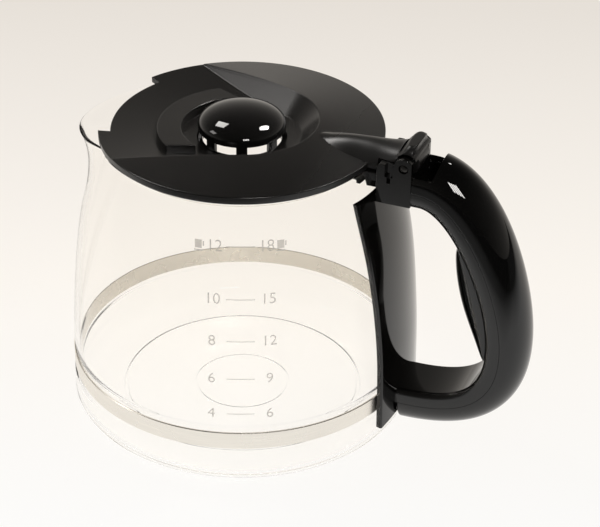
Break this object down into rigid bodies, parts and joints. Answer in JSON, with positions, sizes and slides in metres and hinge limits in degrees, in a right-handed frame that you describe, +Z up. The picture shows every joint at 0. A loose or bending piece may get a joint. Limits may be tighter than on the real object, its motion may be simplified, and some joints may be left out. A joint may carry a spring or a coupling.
{
  "type": "glass coffee carafe",
  "caption": "Glass jug with a drawn lip, a steel clamp band and a black looped handle; its hinged lid lifts by a thumb lever and lets coffee drip in through a domed drain.",
  "frame": {"origin": "centre of the glass base, on the surface that the carafe stands on", "axes": "+Z up along the jug's axis, +X toward the handle, so that the lip points along -X"},
  "size_m": [0.2056, 0.149, 0.141],
  "materials": {
    "glass": "clear blown glass",
    "steel": "stainless, lightly brushed",
    "gloss_black": "polished black moulding",
    "satin_black": "satin black moulding"
  },
  "bodies": {
    "jug": {"glass_jug": "glass", "clamp_band": "steel", "band_screw": "steel", "band_nut": "steel", "handle_frame": "satin_black", "handle_cover": "gloss_black", "grip_insert": "satin_black", "cover_screw_lower": "steel", "cover_screw_grip": "steel", "hinge_pin": "steel"},
    "lid": {"lid_cover": "satin_black", "drip_dome": "gloss_black", "thumb_lever": "satin_black"}
  },
  "joints": [
    {"name": "lid_hinge", "type": "hinge", "parent": "jug", "child": "lid", "pos_m": [0.0755, 0, 0.1326], "axis": [0, 1, 0], "range_deg": [0, 95]}
  ]
}
